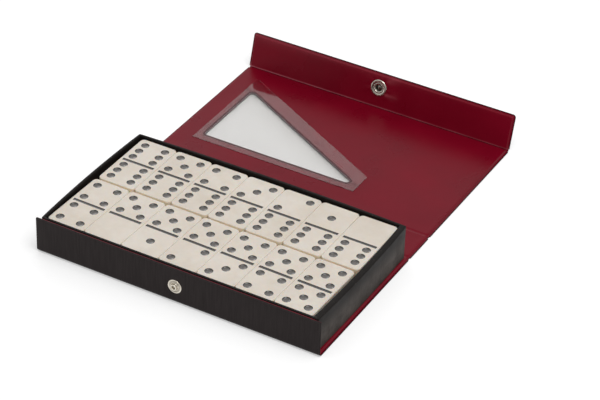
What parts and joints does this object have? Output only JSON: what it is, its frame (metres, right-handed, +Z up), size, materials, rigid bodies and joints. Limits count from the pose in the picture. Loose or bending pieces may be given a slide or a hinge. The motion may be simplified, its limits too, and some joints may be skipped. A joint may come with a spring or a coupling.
{
  "type": "domino storage box",
  "caption": "Folding vinyl case with a domino tray, shown open: windowed lid, closing flap with snap fastener, and a double-six set in two layers.",
  "frame": {"origin": "under the middle of the tray, on the surface that the case rests on", "axes": "+X to the right along the front panel, +Y from the front panel back over the spine and the open lid to the flap, +Z up out of the tray"},
  "size_m": [0.1906, 0.254, 0.0243],
  "materials": {
    "black_vinyl": "fine-grained black PVC sheet, semi-matte",
    "red_vinyl": "smooth dark red PVC sheet, semi-gloss",
    "grey_board": "matt grey paperboard",
    "tray_covering": "black leatherette paper with a fine grain",
    "clear_sheet": "clear glossy PVC film",
    "nickel": "nickel-plated pressed metal, polished",
    "spring_wire": "bright spring wire",
    "ivory": "ivory urea resin, polished, with dark pips"
  },
  "bodies": {
    "tray": {"base_skin": "black_vinyl", "base_board": "grey_board", "base_lining": "red_vinyl", "front_skin": "black_vinyl", "front_board": "grey_board", "front_lining": "red_vinyl", "front_fold_web": "black_vinyl", "spine_fold_web": "black_vinyl", "tray_floor_card": "grey_board", "tray_wall_front": "grey_board", "tray_wall_back": "grey_board", "tray_wall_left": "grey_board", "tray_wall_right": "grey_board", "tray_covering": "tray_covering", "snap_stud": "nickel", "stud_washer": "nickel"},
    "spine": {"spine_skin": "black_vinyl", "spine_board": "grey_board", "spine_lining": "red_vinyl", "lid_fold_web": "black_vinyl"},
    "lid": {"lid_skin": "black_vinyl", "lid_board": "grey_board", "lid_lining": "red_vinyl", "window_sheet": "clear_sheet", "flap_fold_web": "black_vinyl"},
    "flap": {"flap_skin": "black_vinyl", "flap_board": "grey_board", "flap_lining": "red_vinyl", "snap_socket": "nickel", "socket_spring": "spring_wire", "snap_cap": "nickel"},
    "tile_6_6": {"tile_6_6": "ivory"},
    "tile_0_0": {"tile_0_0": "ivory"},
    "tile_6_5": {"tile_6_5": "ivory"},
    "tile_1_0": {"tile_1_0": "ivory"},
    "tile_6_4": {"tile_6_4": "ivory"},
    "tile_2_0": {"tile_2_0": "ivory"},
    "tile_6_3": {"tile_6_3": "ivory"},
    "tile_3_0": {"tile_3_0": "ivory"},
    "tile_6_2": {"tile_6_2": "ivory"},
    "tile_4_0": {"tile_4_0": "ivory"},
    "tile_6_1": {"tile_6_1": "ivory"},
    "tile_1_1": {"tile_1_1": "ivory"},
    "tile_6_0": {"tile_6_0": "ivory"},
    "tile_2_1": {"tile_2_1": "ivory"},
    "tile_4_4": {"tile_4_4": "ivory"},
    "tile_3_1": {"tile_3_1": "ivory"},
    "tile_5_0": {"tile_5_0": "ivory"},
    "tile_4_1": {"tile_4_1": "ivory"},
    "tile_5_1": {"tile_5_1": "ivory"},
    "tile_2_2": {"tile_2_2": "ivory"},
    "tile_5_2": {"tile_5_2": "ivory"},
    "tile_3_2": {"tile_3_2": "ivory"},
    "tile_5_3": {"tile_5_3": "ivory"},
    "tile_4_2": {"tile_4_2": "ivory"},
    "tile_5_4": {"tile_5_4": "ivory"},
    "tile_3_3": {"tile_3_3": "ivory"},
    "tile_5_5": {"tile_5_5": "ivory"},
    "tile_4_3": {"tile_4_3": "ivory"}
  },
  "joints": [
    {"name": "spine_fold", "type": "hinge", "parent": "tray", "child": "spine", "pos_m": [0, 0.05445, 0.0003], "axis": [-1, 0, 0], "range_deg": [-90, 0]},
    {"name": "lid_fold", "type": "hinge", "parent": "spine", "child": "lid", "pos_m": [0, 0.07995, 0.0003], "axis": [-1, 0, 0], "range_deg": [-90, 0]},
    {"name": "flap_fold", "type": "hinge", "parent": "lid", "child": "flap", "pos_m": [0, 0.19115, 0.0003], "axis": [-1, 0, 0], "range_deg": [-15, 75]},
    {"name": "lift_6_6", "type": "slide", "parent": "tile_0_0", "child": "tile_6_6", "axis": [0, 0, 1], "range_m": [0, 0.03]},
    {"name": "lift_6_5", "type": "slide", "parent": "tile_1_0", "child": "tile_6_5", "axis": [0, 0, 1], "range_m": [0, 0.03]},
    {"name": "lift_6_4", "type": "slide", "parent": "tile_2_0", "child": "tile_6_4", "axis": [0, 0, 1], "range_m": [0, 0.03]},
    {"name": "lift_6_3", "type": "slide", "parent": "tile_3_0", "child": "tile_6_3", "axis": [0, 0, 1], "range_m": [0, 0.03]},
    {"name": "lift_6_2", "type": "slide", "parent": "tile_4_0", "child": "tile_6_2", "axis": [0, 0, 1], "range_m": [0, 0.03]},
    {"name": "lift_6_1", "type": "slide", "parent": "tile_1_1", "child": "tile_6_1", "axis": [0, 0, 1], "range_m": [0, 0.03]},
    {"name": "lift_6_0", "type": "slide", "parent": "tile_2_1", "child": "tile_6_0", "axis": [0, 0, 1], "range_m": [0, 0.03]},
    {"name": "lift_4_4", "type": "slide", "parent": "tile_3_1", "child": "tile_4_4", "axis": [0, 0, 1], "range_m": [0, 0.03]},
    {"name": "lift_5_0", "type": "slide", "parent": "tile_4_1", "child": "tile_5_0", "axis": [0, 0, 1], "range_m": [0, 0.03]},
    {"name": "lift_5_1", "type": "slide", "parent": "tile_2_2", "child": "tile_5_1", "axis": [0, 0, 1], "range_m": [0, 0.03]},
    {"name": "lift_5_2", "type": "slide", "parent": "tile_3_2", "child": "tile_5_2", "axis": [0, 0, 1], "range_m": [0, 0.03]},
    {"name": "lift_5_3", "type": "slide", "parent": "tile_4_2", "child": "tile_5_3", "axis": [0, 0, 1], "range_m": [0, 0.03]},
    {"name": "lift_5_4", "type": "slide", "parent": "tile_3_3", "child": "tile_5_4", "axis": [0, 0, 1], "range_m": [0, 0.03]},
    {"name": "lift_5_5", "type": "slide", "parent": "tile_4_3", "child": "tile_5_5", "axis": [0, 0, 1], "range_m": [0, 0.03]},
    {"name": "lift_0_0", "type": "slide", "parent": "tray", "child": "tile_0_0", "axis": [0, 0, 1], "range_m": [0, 0.03]},
    {"name": "lift_1_0", "type": "slide", "parent": "tray", "child": "tile_1_0", "axis": [0, 0, 1], "range_m": [0, 0.03]},
    {"name": "lift_2_0", "type": "slide", "parent": "tray", "child": "tile_2_0", "axis": [0, 0, 1], "range_m": [0, 0.03]},
    {"name": "lift_3_0", "type": "slide", "parent": "tray", "child": "tile_3_0", "axis": [0, 0, 1], "range_m": [0, 0.03]},
    {"name": "lift_4_0", "type": "slide", "parent": "tray", "child": "tile_4_0", "axis": [0, 0, 1], "range_m": [0, 0.03]},
    {"name": "lift_1_1", "type": "slide", "parent": "tray", "child": "tile_1_1", "axis": [0, 0, 1], "range_m": [0, 0.03]},
    {"name": "lift_2_1", "type": "slide", "parent": "tray", "child": "tile_2_1", "axis": [0, 0, 1], "range_m": [0, 0.03]},
    {"name": "lift_3_1", "type": "slide", "parent": "tray", "child": "tile_3_1", "axis": [0, 0, 1], "range_m": [0, 0.03]},
    {"name": "lift_4_1", "type": "slide", "parent": "tray", "child": "tile_4_1", "axis": [0, 0, 1], "range_m": [0, 0.03]},
    {"name": "lift_2_2", "type": "slide", "parent": "tray", "child": "tile_2_2", "axis": [0, 0, 1], "range_m": [0, 0.03]},
    {"name": "lift_3_2", "type": "slide", "parent": "tray", "child": "tile_3_2", "axis": [0, 0, 1], "range_m": [0, 0.03]},
    {"name": "lift_4_2", "type": "slide", "parent": "tray", "child": "tile_4_2", "axis": [0, 0, 1], "range_m": [0, 0.03]},
    {"name": "lift_3_3", "type": "slide", "parent": "tray", "child": "tile_3_3", "axis": [0, 0, 1], "range_m": [0, 0.03]},
    {"name": "lift_4_3", "type": "slide", "parent": "tray", "child": "tile_4_3", "axis": [0, 0, 1], "range_m": [0, 0.03]}
  ]
}
